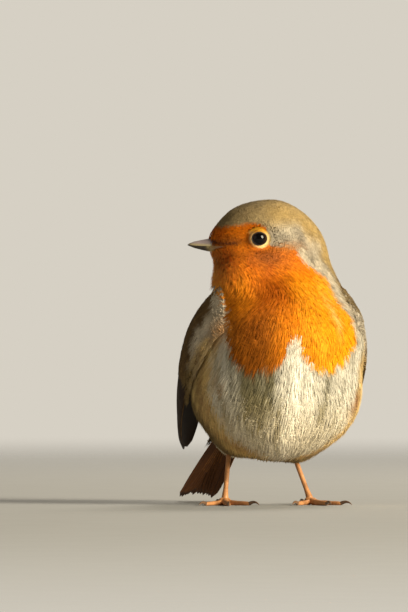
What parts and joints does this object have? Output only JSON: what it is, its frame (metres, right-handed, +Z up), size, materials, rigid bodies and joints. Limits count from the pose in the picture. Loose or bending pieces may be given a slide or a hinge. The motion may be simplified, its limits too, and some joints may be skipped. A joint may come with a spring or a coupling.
{
  "type": "european robin bird figure",
  "caption": "Life-size still songbird standing with its head turned to its right: orange face and breast, grey-white belly, olive-brown back, folded wings and a closed tail.",
  "frame": {"origin": "on the ground, under the middle of the whole bird's box", "axes": "+Z up; the breast faces -Y and the tail trails towards +Y; +X is the bird's left; the head is turned to look along -X"},
  "size_m": [0.0542, 0.0866, 0.0886],
  "materials": {
    "face_plumage": "short dense matte feathers, orange face under an olive-brown crown",
    "breast_plumage": "soft matte body feathers, rich orange edged with blue-grey",
    "body_plumage": "long soft matte body feathers, orange above, white-grey belly, buff flanks, olive-brown back",
    "rump_plumage": "soft matte feathers, olive-brown above and off-white below the tail",
    "tail_feathers": "smooth dark brown vanes with finer pale edges",
    "wing_coverts": "overlapping olive-brown vanes with paler edges",
    "flight_feathers": "long smooth dark brown vanes with narrow olive edges",
    "bill_upper_horn": "dark grey-brown horn, satin",
    "bill_lower_horn": "grey-brown horn, paler at the base, satin",
    "eye": "wet black-brown, mirror-smooth cornea",
    "leg_skin": "reddish-brown scaly skin, satin",
    "claw_horn": "brown horn, satin, paler at the tip"
  },
  "bodies": {
    "root": {"head": "face_plumage", "neck": "breast_plumage", "trunk": "body_plumage", "rump": "rump_plumage", "tail": "tail_feathers", "bill_upper": "bill_upper_horn", "bill_lower": "bill_lower_horn", "eye_left": "eye", "eye_right": "eye", "wing_left_coverts": "wing_coverts", "wing_left_secondaries": "flight_feathers", "wing_left_primaries": "flight_feathers", "shank_left": "leg_skin", "toe_left_hind": "leg_skin", "claw_left_hind": "claw_horn", "toe_left_inner": "leg_skin", "claw_left_inner": "claw_horn", "toe_left_middle": "leg_skin", "claw_left_middle": "claw_horn", "toe_left_outer": "leg_skin", "claw_left_outer": "claw_horn", "wing_right_coverts": "wing_coverts", "wing_right_secondaries": "flight_feathers", "wing_right_primaries": "flight_feathers", "shank_right": "leg_skin", "toe_right_hind": "leg_skin", "claw_right_hind": "claw_horn", "toe_right_inner": "leg_skin", "claw_right_inner": "claw_horn", "toe_right_middle": "leg_skin", "claw_right_middle": "claw_horn", "toe_right_outer": "leg_skin", "claw_right_outer": "claw_horn"}
  },
  "joints": []
}
